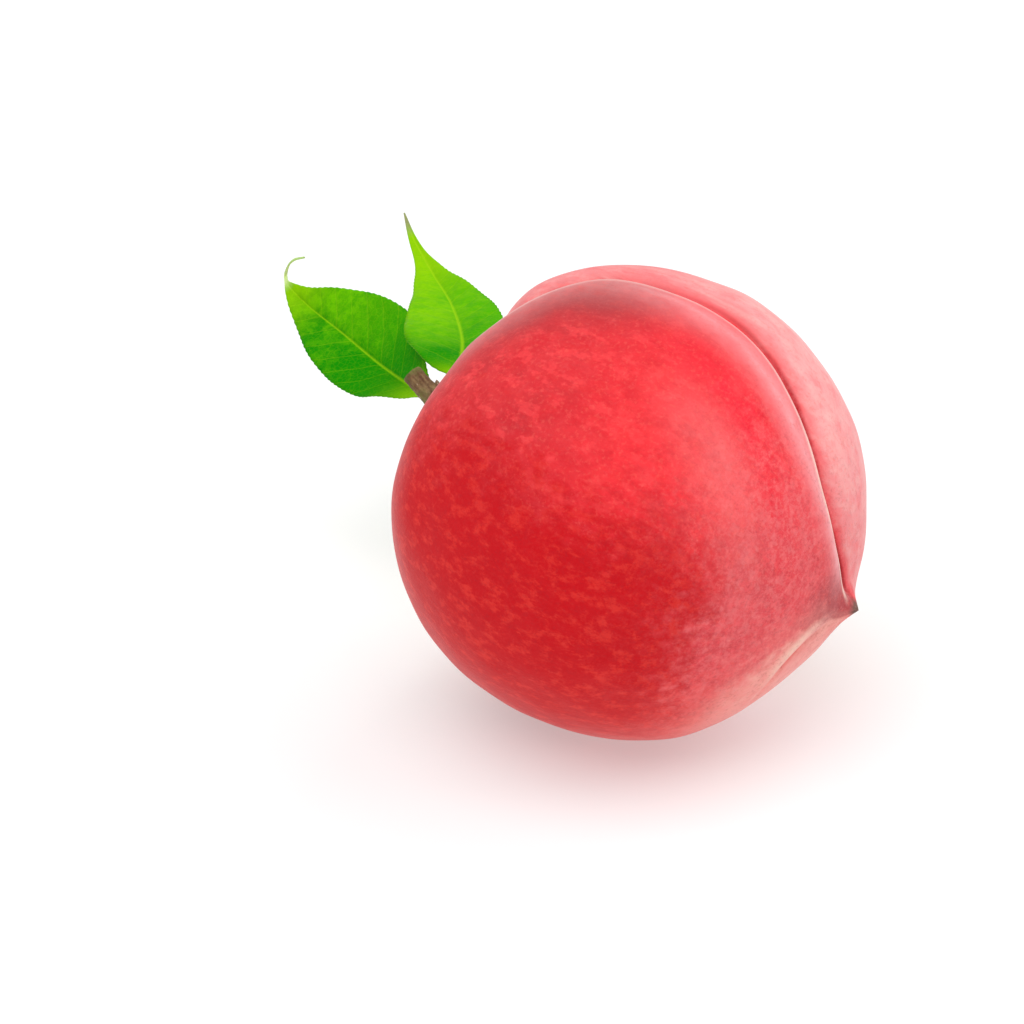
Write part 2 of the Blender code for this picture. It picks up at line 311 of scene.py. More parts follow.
def skin_detail(theta, phi):
    """Small forms that the solid leaves out: the crease at the bottom of the seam, the faint seam
    below the tip, puckers round both ends, and the slight unevenness of the whole skin."""
    across, up = across_seam(theta, phi)
    from_tip, turn = 180.0 - theta, np.radians(phi)
    detail = -CREASE_DEPTH * bell(across, 0.0, CREASE_HALF_WIDTH) * ramp(0.0, CREASE_RUN_OUT, up)
    scar_middle = np.radians(SCAR_TURN + SCAR_LEAN * np.clip(from_tip, 0.0, SCAR_BENDS_TO))
    scar_at = FRUIT_RADIUS * np.sin(np.radians(theta)) * np.sin(turn - scar_middle)
    scar = ramp(40, 26, from_tip) * ramp(5, 11, from_tip) * ramp(-0.3, 0.3, np.cos(turn - scar_middle))
    detail = detail + SCAR_HEIGHT * bell(scar_at, 0.0, SCAR_HALF_WIDTH) * scar
    detail = detail - SCAR_GROOVE_DEPTH * bell(scar_at, SCAR_GROOVE_AT, SCAR_GROOVE_WIDTH) * scar
    puckers = np.cos(STEM_PUCKERS * turn + 0.6) * bell(theta, 17, 9) * ramp(2, 9, theta)
    detail = detail + STEM_PUCKER_HEIGHT * puckers
    detail = detail + TIP_PUCKER_HEIGHT * np.cos(TIP_PUCKERS * turn + 1.1) * bell(from_tip, 7, 4)
    sine = np.sin(np.radians(theta))
    place = np.stack([sine * np.cos(turn), sine * np.sin(turn), np.cos(np.radians(theta))], axis=-1)
    rng = np.random.default_rng(7)
    for height, low, high, count in UNEVENNESS:
        for _ in range(count):
            way = rng.normal(size=3)
            way *= rng.uniform(low, high) / np.linalg.norm(way)
            detail = detail + height * np.sin(place @ way + rng.uniform(0, 2 * math.pi))
    return detail


def store(mesh, name, vectors):
    """Keeps one vector for each vertex, which the materials read by name."""
    kept = mesh.attributes.new(name, "FLOAT_VECTOR", "POINT")
    kept.data.foreach_set("vector", np.ascontiguousarray(vectors).ravel())


def make_fruit(material):
    """A sphere whose poles are the stem end and the tip, pushed out to the skin, flat where it
    rests. It keeps each point's place in the fruit's own axes (from the top, away from the near
    cheek, to the stem end) and across the seam, in millimetres."""
    shape = bmesh.new()
    bmesh.ops.create_uvsphere(shape, u_segments=MERIDIANS, v_segments=RINGS, radius=1.0)
    mesh = bpy.data.meshes.new("peach_fruit")
    shape.to_mesh(mesh)
    shape.free()
    place = np.zeros(len(mesh.vertices) * 3)
    mesh.vertices.foreach_get("co", place)
    x, y, z = place.reshape(-1, 3).T
    theta = np.arccos(np.clip(z, -1.0, 1.0))
    turn = np.arctan2(y, x)
    turn = turn - SEAM_CROWDING * np.sin(turn)
    turn = turn - np.radians(seam_middle(np.degrees(theta))) * (0.5 + 0.5 * np.cos(turn))
    in_degrees = (np.degrees(theta), np.degrees(-turn))
    skin = fruit_radius(*in_degrees) + skin_detail(*in_degrees)
    ring = skin * np.sin(theta)
    place = np.stack([ring * np.cos(turn), ring * np.sin(turn), skin * np.cos(theta)], axis=1)
    lie = np.array(Matrix.Rotation(-math.radians(90 - STEM_END_RISE), 3, "Y"))
    world = place @ lie.T + np.array(FRUIT_CENTRE)
    height = world[:, 2]
    world[:, 2] = 0.5 * (height + np.sqrt(height ** 2 + REST_EDGE_ROUNDING ** 2))
    mesh.vertices.foreach_set("co", world.ravel())
    store(mesh, "skin", 1000.0 * place)
    across, up = across_seam(*in_degrees)
    store(mesh, "seam", np.stack([1000.0 * across, 1000.0 * up, 180.0 - in_degrees[0]], axis=1))
    mesh.shade_smooth()
    mesh.update()
    return add_piece("peach_fruit", mesh, material)


# The skin's patterns: how each is stretched (a minus sign gives it places of its own), its
# scale, detail and roughness, and the noise levels where it starts and where it is full.
BLOTCHES = (1.0, 1.0, 0.6), 0.11, 5.0, 0.60, 0.44, 0.66
PATCHES = (-1.0, 1.0, 0.6), 0.21, 4.0, 0.60, 0.50, 0.62
MOTTLE = (1.0, 1.0, 0.6), 0.36, 5.0, 0.70, 0.43, 0.66
LIGHT_MOTTLE = (1.0, 1.0, -0.6), 0.55, 3.0, 0.60, 0.50, 0.64
FLUSH = (1.0, 1.0, 0.5), 0.30, 4.0, 0.65, 0.46, 0.70
# Pale streaks on the far cheek: partly paler skin, partly painted sheen.
PALE_SHEEN_STREAKS = (1.0, 1.0, 0.2), 0.45, 4.0, 0.60, 0.42, 0.72
EMBERS = (1.0, -1.0, 0.6), 0.58, 5.0, 0.68, 0.47, 0.66
SPECKS = (1.0, 1.0, 1.0), 1.7, 2.0, 0.50, 0.54, 0.70
CLOUDS = (1.0, -1.0, 1.0), 0.70, 4.0, 0.65, 0.44, 0.62
DARK_FUZZ = (-1.0, 1.0, 0.8), 1.9, 4.0, 0.80, 0.45, 0.71

# Bands along the seam: middle and half-width across it in millimetres, positive to the near
# cheek, then middle and half-length in degrees from the tip.
# The far cheek's pale ridge: partly paler skin, partly painted sheen.
PALE_RIDGE_AND_SHEEN_BAND = -11.0, 7.5, 72.0, 50.0
# A painted highlight band on the far cheek beside the groove.
PAINTED_HIGHLIGHT_BAND = -5.2, 3.2, 42.0, 24.0
FLANK_BAND = 14.5, 5.5, 62.0, 46.0
HAZE_BAND = 21.5, 7.0, 60.0, 32.0
DUSKY_BAND = 11.2, 8.2, 112.0, 38.0

# Profiles along the seam: two angles from the tip and the values there, in millimetres or as a
# share. A profile is level beyond its two angles.
# The lip's pale band is partly paler skin and partly a painted highlight.
LIP_AT = (12.0, 32.0, 0.3, 2.65), (70.0, 130.0, 0.0, 2.0)
LIP_CREST_AT = (10.0, 52.0, 2.4, 6.4), (80.0, 115.0, 0.4, -0.6)
LIP_REACH = (30.0, 60.0, 3.8, 5.2), (60.0, 115.0, 0.0, 4.2)
LIP_SHARE = (36.0, 75.0, 0.90, 0.58)
LIP_TO_DUSTY = (88.0, 108.0, 0.0, 1.0)
LIP_FALL, LIP_INSIDE, LIP_INSIDE_SHARE = 1.8, 2.4, 0.55
# The edge is a painted cream highlight along the lip at the groove.
EDGE_PAST_LIP, EDGE_WIDTH = (45.0, 75.0, 1.05, 0.65), (5.0, 24.0, 0.70, 1.25)
EDGE_SHARE, EDGE_TO_PALE = (45.0, 75.0, 0.92, 0.55), (45.0, 80.0, 0.0, 1.0)
# The crease's painted shade line: where it lies across the seam, its width and its share.
CREASE_AT, CREASE_WIDTH = (15.0, 130.0, 0.3, 2.9), (8.0, 40.0, 0.35, 0.85)
CREASE_SHARE = (55.0, 105.0, 0.85, 0.10)
INSIDE_AT, INSIDE_WIDTH, INSIDE_SHARE = -0.6, 2.6, (60.0, 110.0, 0.20, 0.0)
FAR_EDGE = (40.0, 105.0, -3.0, -1.8)
GROOVE_TO_FAR = (20.0, 85.0, -2.4, -5.5)

# Below the tip, in degrees round the fruit from the top: where the pale skin starts. The spots
# are like the bands above, but in degrees round from the scar.
BELOW_LEAN, BELOW_AT_TIP = -1.42, (0.0, 14.0, 42.0, 0.0)
BELOW_FROM, BELOW_TO = (25.0, 50.0, 60.0, 44.0), 78.0
SKIRT_FROM, SKIRT_TO, SKIRT_SHARE = 36.0, 60.0, (12.0, 50.0, 0.30, 0.0)
SCAR_SPOT, STREAK_SPOT = (0.0, 11.0, 20.0, 13.0), (11.0, 5.0, 18.0, 9.0)

SCARLET = (0.90, 0.036, 0.046)
CRIMSON = (0.68, 0.012, 0.018)
DARK_CRIMSON = (0.54, 0.010, 0.018)
LIGHT_RED = (0.95, 0.068, 0.074)
MAROON = (0.42, 0.012, 0.020)
STEM_MAROON = (0.40, 0.034, 0.040)
RED_MOTTLE = (0.66, 0.016, 0.026)
BAND_MAROON = (0.36, 0.040, 0.046)
ROSE = (0.92, 0.13, 0.15)
# Paler pink underneath: partly the skin's own paler ground, partly painted bounce light from the floor.
UNDER_PINK_AND_BOUNCE = (0.88, 0.13, 0.12)
BELOW_PINK = (0.96, 0.42, 0.36)
# Painted shadow over the deep blush, low on the near cheek.
DEEP_BLUSH_AND_SHADOW = (0.60, 0.005, 0.010)
# The far cheek's pink: partly its own paler ground, partly painted sheen.
FAR_PINK_AND_SHEEN = (0.94, 0.375, 0.38)
FAR_YELLOW = (0.93, 0.48, 0.22)
ORANGE = (0.95, 0.14, 0.11)
EMBER_RED = (0.95, 0.065, 0.045)
FUZZ_PINK = (0.97, 0.30, 0.30)
FUZZ_DARK = (0.40, 0.02, 0.03)
# Pale pink for the painted highlights and sheen on the far cheek and the lip.
PALE_HIGHLIGHT = (0.97, 0.58, 0.54)
# The lip's pale band: partly paler skin, partly painted highlight.
LIP_PINK_AND_HIGHLIGHT = (0.95, 0.41, 0.43)
# Painted cream highlight along the lip's edge.
LIP_CREAM_HIGHLIGHT = (0.99, 0.70, 0.60)
LIP_DUSTY = (0.62, 0.35, 0.345)
FLANK_RED = (0.88, 0.018, 0.045)
# Painted shade in the seam's crease.
CREASE_SHADE = (0.34, 0.015, 0.022)
STEM_END_YELLOW = (0.92, 0.42, 0.14)
SCAR_CREAM = (0.98, 0.64, 0.52)
STREAK_RED = (0.80, 0.10, 0.09)
TIP_MAROON = (0.36, 0.072, 0.078)
TIP_BROWN = (0.17, 0.10, 0.08)


class Skin(Graph):
    """Red skin with darker blotches and streaks from stem to tip, paler on the far cheek, at the
    seam's lip, in the stem cavity and below the tip, under a white fuzz. Part of the colour is
    painted light: painted shade low on the fruit and in the seam's crease, a painted shadow low
    on the near cheek, painted sheen and highlights on the far cheek and the lip, a painted broad
    sheen towards the tip and painted floor bounce underneath. Distances across the seam, and
    over the fruit's middle on its side, are in millimetres; from_tip and around are in degrees;
    top, far and stem say how far a place faces those ways, from -1 to 1."""

    def __init__(self):
        super().__init__("peach_skin")
        self.place = self.attribute("skin")
        self.across, self.over, self.from_tip = self.split(self.attribute("seam"))
        self.top, self.far, self.stem = self.split(self.vector("NORMALIZE", self.place))
        self.around = self.math("DEGREES", self.math("ARCTAN2", self.times(self.far, -1.0), self.top))
        self.soft = self.minus(self.noise(self.place, 0.09, 3.0), 0.5)
        self.fine = self.minus(self.noise(self.scaled(self.place, 1.0, 1.0, 0.6), 0.5, 3.0, 0.6), 0.5)
        self.uneven = self.plus(self.soft, self.fine)
        self.on_top = self.step(self.over, 0.0, 6.0)
        self.near_half = self.step(self.far, 0.0, -0.05)
        self.downward = self.step(self.top, 0.05, -0.40)
        # Painted shade: lower on the fruit the skin turns to darker crimson, partly its own deeper red.
        self.painted_shade = self.zone(self.top, 0.62, 0.22, 0.45)
        self.mottle = self.pattern(*MOTTLE)
        # The low near cheek, where a painted shadow lies over the deep blush.
        self.low_near_shadow = self.times(self.zone(self.far, -0.40, -0.80), self.zone(self.top, 0.58, 0.22),
                                   self.zone(self.from_tip, 40.0, 62.0, 30.0))
        self.dusky = self.times(self.band(self.across, *DUSKY_BAND), self.plus(0.85, self.soft))
        self.far_side = self.find_far_side()
        # Scarlet above and darker crimson below, partly the skin's own colour and partly painted shade.
        self.colour = self.mix(self.painted_shade, SCARLET, CRIMSON)

    def zone(self, value, low, high, unevenness=0.5):
        """From 0 where value is low to 1 where it is high, with an uneven edge."""
        return self.step(self.plus(value, self.times(self.uneven, unevenness)), low, high)

    def band(self, value, middle, half_width, from_tip_middle, half_length):
        return self.times(self.hump(value, middle, half_width),
                          self.hump(self.from_tip, from_tip_middle, half_length))

    def pattern(self, stretch, scale, detail, roughness, low, high):
        spots = self.noise(self.scaled(self.place, *stretch), scale, detail, roughness)
        return self.step(spots, low, high)

    def profile(self, *parts):
        """The sum of straight changes with the angle from the tip."""
        return self.plus(*(self.between(self.from_tip, *part) for part in parts))

    def ragged(self, level, unevenness):
        """A level that the fine noise makes uneven."""
        return self.plus(level, self.times(self.fine, unevenness))

    def find_far_side(self):
        """The far cheek: on top it starts at the seam, underneath it fades in across the fruit."""
        above = self.step(self.ragged(self.across, 4.0), 0.8, self.profile(FAR_EDGE))
        underneath = self.step(self.plus(self.far, self.times(self.uneven, 0.6)), -0.42, 0.48)
        return self.blend(self.downward, above, underneath)

    def lay(self, colour, *shares):
        """Covers a share of the colour so far: the product of shares."""
        self.colour = self.mix(self.times(*shares), self.colour, colour)

    def lay_reds(self):
        """Blotches, streaks and mottle, darker in the painted shade low on the fruit, rosier towards
            the tip, partly as a painted broad sheen, and pinker underneath, partly as painted bounce
            light from the floor.
        """
        self.lay(DARK_CRIMSON, self.pattern(*BLOTCHES), self.between(self.painted_shade, 0.0, 1.0, 0.25, 0.60))
        patches = self.math("MAXIMUM", self.between(self.painted_shade, 0.0, 1.0, 0.0, 0.42),
                            self.profile((78.0, 112.0, 0.0, 0.34)))
        self.lay(MAROON, self.pattern(*PATCHES), patches)
        self.lay(STEM_MAROON, self.zone(self.from_tip, 80.0, 110.0, 24.0), 0.40)
        self.lay(self.mix(self.painted_shade, RED_MOTTLE, MAROON), self.mottle, 0.58)
        self.lay(LIGHT_RED, self.pattern(*LIGHT_MOTTLE), self.minus(0.50, self.times(self.low_near_shadow, 0.25)))
        # Rosier towards the tip: partly the skin's own colour, partly a painted broad sheen.
        self.lay(ROSE, self.zone(self.from_tip, 76.0, 28.0, 56.0), 0.62)
        # Pinker underneath: partly paler skin, partly painted bounce light from the floor.
        self.lay(UNDER_PINK_AND_BOUNCE, self.zone(self.top, -0.10, -0.60), 0.70, self.profile((45.0, 90.0, 1.0, 0.7)))

    def lay_far_cheek(self):
        """Pink, partly painted sheen, redder beside the groove and at both ends, with a pale ridge and
        streaks that are partly painted sheen, and a painted highlight band.
        """
        halfway = self.times(self.step(self.from_tip, 5.0, 40.0), self.step(self.from_tip, 130.0, 50.0))
        from_groove = self.ratio(self.across, self.profile(GROOVE_TO_FAR))
        from_groove = self.between(from_groove, 0.15, 1.0, 0.25, 1.0)
        # Far cheek pink, partly painted sheen.
        self.lay(FAR_PINK_AND_SHEEN, self.far_side, self.plus(0.66, self.times(halfway, 0.26)),
                 self.blend(self.downward, from_groove, 1.0))
        # Pale ridge, partly painted sheen.
        self.lay(PALE_HIGHLIGHT, self.band(self.across, *PALE_RIDGE_AND_SHEEN_BAND), 0.42)
        # Painted highlight band.
        self.lay(PALE_HIGHLIGHT, self.band(self.across, *PAINTED_HIGHLIGHT_BAND), self.ragged(0.42, 1.0), self.on_top)
        self.lay(ROSE, self.pattern(*FLUSH), self.far_side, 0.48)
        self.lay(FAR_YELLOW, self.zone(self.far, 0.15, 0.75, 0.9),
                 self.zone(self.top, 0.45, -0.25, 0.9), 0.75)
        # Pale streaks, partly painted sheen.
        self.lay(PALE_HIGHLIGHT, self.pattern(*PALE_SHEEN_STREAKS), self.far_side, 0.34)

    def lay_near_bands(self):
        """A redder band beside the lip, a hazy one below it, and a dusky one to the stem end."""
        self.lay(FLANK_RED, self.band(self.across, *FLANK_BAND), self.ragged(0.50, 1.2), self.on_top)
        self.lay(FUZZ_PINK, self.band(self.across, *HAZE_BAND), self.ragged(0.27, 0.5), self.on_top)
        self.lay(BAND_MAROON, self.dusky)

    def lay_tip_cone(self):
        self.lay(TIP_MAROON, self.zone(self.from_tip, 25.0, 7.0, 10.0), 0.80,
                 self.step(self.across, -1.0, 0.4), self.step(self.around, 128.0, 100.0))

    def lay_lip(self):
        """The near lip: pale at its crest and fading outward, partly its own paler skin and partly a
        painted highlight, with a painted cream highlight along its edge at the groove.
        """
        from_crest = self.minus(self.across, self.profile(*LIP_CREST_AT))
        beyond = self.ratio(from_crest, self.profile(*LIP_REACH))
        outer = self.math("POWER", self.between(beyond, 0.0, 1.0, 1.0, 0.0), LIP_FALL)
        inner = self.between(from_crest, -LIP_INSIDE, 0.0, LIP_INSIDE_SHARE, 1.0)
        # Pale band along the lip's crest: partly paler skin, partly painted highlight.
        self.lay(self.mix(self.profile(LIP_TO_DUSTY), LIP_PINK_AND_HIGHLIGHT, LIP_DUSTY), outer, inner,
                 self.step(self.across, 0.0, 1.0), self.ragged(1.0, 0.9), self.on_top,
                 self.profile(LIP_SHARE), self.step(self.from_tip, 3.0, 20.0))
        # Painted cream highlight along the lip's edge at the groove.
        edge_at = self.plus(self.profile(*LIP_AT), self.profile(EDGE_PAST_LIP))
        edge = self.ratio(self.minus(self.across, edge_at), self.profile(EDGE_WIDTH))
        self.lay(self.mix(self.profile(EDGE_TO_PALE), LIP_CREAM_HIGHLIGHT, PALE_HIGHLIGHT), self.hump(edge, 0.0, 1.0),
                 self.step(self.over, 0.0, 2.5), self.step(self.from_tip, 2.0, 5.5),
                 self.profile(EDGE_SHARE))

    def lay_low_near_cheek(self):
        """Deep crimson low on the near cheek, partly its own deep blush and partly a painted shadow,
            with brighter spots in it, and specks all over.
        """
        self.lay(DEEP_BLUSH_AND_SHADOW, self.low_near_shadow, 0.85)
        self.lay(EMBER_RED, self.pattern(*EMBERS), self.between(self.low_near_shadow, 0.0, 1.0, 0.10, 0.38))
        few = self.math("MAXIMUM", self.low_near_shadow, self.dusky)
        self.lay(ORANGE, self.pattern(*SPECKS), self.between(few, 0.0, 1.0, 0.22, 0.04))

    def lay_groove(self):
        """A painted shade line at the bottom of the seam, and redder skin inside it."""
        # Painted shade along the crease.
        crease = self.ratio(self.plus(self.across, self.profile(CREASE_AT)), self.profile(CREASE_WIDTH))
        self.lay(CREASE_SHADE, self.hump(crease, 0.0, 1.0), self.profile(CREASE_SHARE), self.on_top)
        inside = self.hump(self.across, INSIDE_AT, INSIDE_WIDTH)
        self.lay(CRIMSON, inside, self.profile(INSIDE_SHARE), self.on_top)

    def lay_both_ends(self):
        """The stem cavity, the pale skin and the scar below the tip, and the tip's dry point."""
        self.lay(STEM_END_YELLOW, self.zone(self.stem, 0.85, 0.97, 0.10), 0.85)
        below = self.plus(self.ragged(self.around, 18.0), self.times(self.from_tip, BELOW_LEAN))
        below = self.minus(below, self.profile(BELOW_AT_TIP))
        skirt = self.times(self.step(below, SKIRT_FROM, SKIRT_TO), self.profile(SKIRT_SHARE))
        below = self.math("MAXIMUM", self.step(below, self.profile(BELOW_FROM), BELOW_TO), skirt)
        self.lay(BELOW_PINK, below, self.near_half, self.step(self.ragged(self.from_tip, 20.0), 62.0, 34.0),
                 self.ragged(0.76, 1.1))
        from_scar = self.minus(self.around, self.plus(SCAR_TURN, self.times(self.from_tip, SCAR_LEAN)))
        self.lay(SCAR_CREAM, self.band(from_scar, *SCAR_SPOT), self.near_half, 0.9)
        self.lay(STREAK_RED, self.band(from_scar, *STREAK_SPOT), self.near_half, 0.75)
        self.lay(TIP_BROWN, self.zone(self.from_tip, 2.7, 0.9, 0.8))

    def lay_fuzz(self):
        """Fine dark and light grain in clumps, stronger towards the tip. Gives the light grain."""
        tipward = self.step(self.from_tip, 80.0, 16.0)
        clumps = self.noise(self.scaled(self.place, -1.0, 1.0, 1.0), 0.45, 3.0, 0.6)
        self.lay(FUZZ_PINK, self.pattern(*CLOUDS), self.step(self.from_tip, 80.0, 34.0),
                 self.step(self.from_tip, 10.0, 30.0), self.minus(0.24, self.times(self.low_near_shadow, 0.20)))
        dark = self.plus(0.14, self.times(tipward, 0.28), self.times(self.low_near_shadow, 0.18))
        self.lay(FUZZ_DARK, self.pattern(*DARK_FUZZ), dark, self.step(clumps, 0.62, 0.42),
                 self.minus(1.0, self.times(self.far_side, 0.30)))
        grain = self.noise(self.place, 1.9, 4.0, 0.80)
        light = self.plus(0.07, self.times(tipward, self.profile((10.0, 28.0, 0.24, 0.42))))
        self.lay(FUZZ_PINK, self.step(grain, 0.42, 0.70), light, self.between(clumps, 0.38, 0.62, 0.30, 1.0),
                 self.minus(1.0, self.times(self.low_near_shadow, 0.65)))
        return grain


def skin_material():
    skin = Skin()
    skin.lay_reds()
    skin.lay_far_cheek()
    skin.lay_near_bands()
    skin.lay_tip_cone()
    skin.lay_lip()
    skin.lay_low_near_cheek()
    skin.lay_groove()
    skin.lay_both_ends()
    grain = skin.lay_fuzz()
    height = skin.plus(skin.times(grain, 0.7), skin.times(skin.mottle, 0.3))
    return skin.finish(Base_Color=skin.colour, Roughness=0.75, Specular_IOR_Level=0.07,
                       Normal=skin.bump(height, 0.00010, 0.5),
                       Sheen_Weight=0.36, Sheen_Roughness=0.35, Sheen_Tint=(1.0, 0.86, 0.86, 1.0))


# ---- leaves

VEIN_PITCH, VEIN_LEAN, VEIN_BEND = 0.0052, 0.75, 28.0
VEIN_SINK, VEIN_RELIEF, VEIN_WIDTH = 0.00016, 0.0001, 0.08
MIDRIB_SINK, MIDRIB_SINK_WIDTH, MIDRIB_WIDTH = 0.00022, 0.0005, 0.0006
WAVE_LENGTH = 0.0135
TOOTH_PITCH, TOOTH_DEPTH = 0.0014, 0.00013
LEAF_ROWS, LEAF_COLUMNS = 420, 44
BLADE_THICKNESS, MARGIN_THICKNESS, MIDRIB_THICKNESS = 0.00032, 0.00012, 0.0010


def leaf_half_width(along, length, leaf, side):
    """How far a side of the leaf reaches from the midrib, and its blade alone: a narrow stalk,
    a lance-shaped blade and a long drip tip."""
    half_width, rise, fall, tip_slope = leaf["sides"][side]
    widest = rise / (rise + fall)
    start = 0.6 * leaf["stalk"]
    x = np.clip((along - start) / (length - start - 0.6 * leaf["drip"]), 0.0, 1.0)
    blade = half_width * (x / widest) ** rise * ((1 - x) / (1 - widest)) ** fall
    tip = np.minimum(TIP_HALF_WIDTH + tip_slope * (length - along), DRIP_HALF_WIDTH)
    stalk = STALK_HALF_WIDTH + STALK_FOOT * bell(along, 0.0, STALK_FOOT_LENGTH)
    narrow = stalk + (tip - stalk) * ramp(0.3 * widest, widest, x)
    return np.sqrt(blade ** 2 + narrow ** 2), blade


def leaf_frame(line, leaf):
    """Directions across the blade and out of its upper face, at each point of the midrib."""
    forward = np.gradient(line, axis=0)
    forward /= np.linalg.norm(forward, axis=1)[:, None]
    share = ramp(0.15, 0.9, np.linspace(0.0, 1.0, len(line)))[:, None]
    base, tip = np.array(leaf["across"])
    across = base * (1 - share) + tip * share
    across -= forward * np.sum(across * forward, axis=1)[:, None]
    across /= np.linalg.norm(across, axis=1)[:, None]
    return across, np.cross(across, forward)


def vein_phase(along, out, side):
    """Counts side veins along the leaf; a vein lies where this is a whole number."""
    return (along - VEIN_LEAN * out - VEIN_BEND * out ** 2) / VEIN_PITCH + 0.5 * side


def leaf_faces(rows, columns):
    """Faces of a closed leaf: an upper and a lower grid, joined round their edge."""
    corner = np.arange((rows + 1) * (columns + 1)).reshape(rows + 1, columns + 1)
    under = corner + corner.size
    upper = np.stack([corner[:-1, :-1], corner[1:, :-1], corner[1:, 1:], corner[:-1, 1:]], -1)
    lower = np.stack([under[:-1, :-1], under[:-1, 1:], under[1:, 1:], under[1:, :-1]], -1)
    edge = np.concatenate([corner[:, 0], corner[-1, 1:], corner[-2::-1, -1], corner[0, -2:0:-1]])
    around = np.roll(edge, -1)
    rim = np.stack([edge, edge + corner.size, around + corner.size, around], -1)
    return np.vstack([upper.reshape(-1, 4), lower.reshape(-1, 4), rim])


def leaf_thickness(u, v, along, out, phase, is_blade):
    """How far the leaf's two faces are from its middle sheet: a thin blade with a raised midrib
    and side veins below, and a round stalk."""
    thin = MARGIN_THICKNESS + (BLADE_THICKNESS - MARGIN_THICKNESS) * ramp(1.0, 0.9, np.abs(v))
    foot = STALK_FOOT * bell(along, 0.0, STALK_FOOT_LENGTH)
    round_stalk = 2 * (STALK_HALF_WIDTH + foot) * np.sqrt(np.clip(1.0 - v ** 2, 0.0, 1.0))
    stalky = np.clip(1.0 - is_blade, 0.0, 1.0) * ramp(0.3, 0.2, u)
    above = 0.5 * (thin + (round_stalk - thin) * stalky)
    rib = MIDRIB_THICKNESS * (1.0 - 0.8 * u) * bell(out, 0.0, MIDRIB_WIDTH) * is_blade
    vein = VEIN_RELIEF * bell(phase - np.round(phase), 0.0, VEIN_WIDTH) * is_blade
    return above, above + rib + vein * ramp(1.0, 0.8, np.abs(v))


def make_leaf(name, leaf, material):
    """A blade swept along the midrib, folded there, waved and toothed at its margins, with sunken
    veins above. Each point keeps its place along and across the leaf and the half-width there,
    in millimetres, the half-width negative below."""
    line, length = smooth_line(leaf["midrib"], LEAF_ROWS + 1)
    across, upper = leaf_frame(line, leaf)
    u = np.linspace(0.0, 1.0, LEAF_ROWS + 1)[:, None]
    v = np.linspace(-1.0, 1.0, LEAF_COLUMNS + 1)[None, :]
    v = 0.45 * v + 0.55 * v ** 3
    along = u * length
    right, right_blade = leaf_half_width(along, length, leaf, 0)
    left, left_blade = leaf_half_width(along, length, leaf, 1)
    half = np.where(v < 0.0, right, left)
    blade = 0.5 * (right_blade + left_blade)
    side, out = np.sign(v), np.abs(v) * half
    is_blade = ramp(0.0006, 0.003, blade)
    tooth = (along / TOOTH_PITCH + 0.3 * side) % 1.0
    tooth = ramp(0.0, 0.8, tooth) * ramp(1.0, 0.85, tooth) - 0.5
    out = out + TOOTH_DEPTH * tooth * np.abs(v) ** 14 * is_blade
    fold = np.radians(leaf["fold"]) * ramp(0.0, 0.25, u)
    lift = np.sin(fold) * out - leaf["curl"] * out ** 2
    phase = vein_phase(along, out, side)
    quilt = 0.5 - 0.5 * np.cos(2 * math.pi * phase)
    lift = lift + VEIN_SINK * quilt * ramp(0.0006, 0.0025, out) * ramp(1.0, 0.6, np.abs(v)) * is_blade
    wave = np.sin(2 * math.pi * along / WAVE_LENGTH + leaf["wave_start"] + 1.7 * side)
    lift = lift + leaf["wave"] * wave * np.abs(v) ** 3 * is_blade
    lift = lift - MIDRIB_SINK * bell(out, 0.0, MIDRIB_SINK_WIDTH) * is_blade
    sideways = (-side * np.cos(fold) * out)[..., None] * across[:, None]
    middle = line[:, None] + sideways + lift[..., None] * upper[:, None]
    normal = np.cross(np.gradient(middle, axis=1), np.gradient(middle, axis=0))
    normal /= np.linalg.norm(normal, axis=2)[..., None]
    normal *= np.sign(np.sum(normal * upper[:, None], axis=2))[..., None]
    above, below = leaf_thickness(u, v, along, out, phase, is_blade)
    place = np.concatenate([middle + above[..., None] * normal, middle - below[..., None] * normal])
    mesh = bpy.data.meshes.new(name)
    mesh.from_pydata(place.reshape(-1, 3).tolist(), [], leaf_faces(LEAF_ROWS, LEAF_COLUMNS).tolist())
    mark = np.stack([along + 0 * v, side * out, half], axis=-1).reshape(-1, 3)
    store(mesh, "leaf", 1000.0 * np.vstack([mark, mark * (1.0, 1.0, -1.0)]))
    mesh.shade_smooth()
    mesh.validate()
    return add_piece(name, mesh, material)


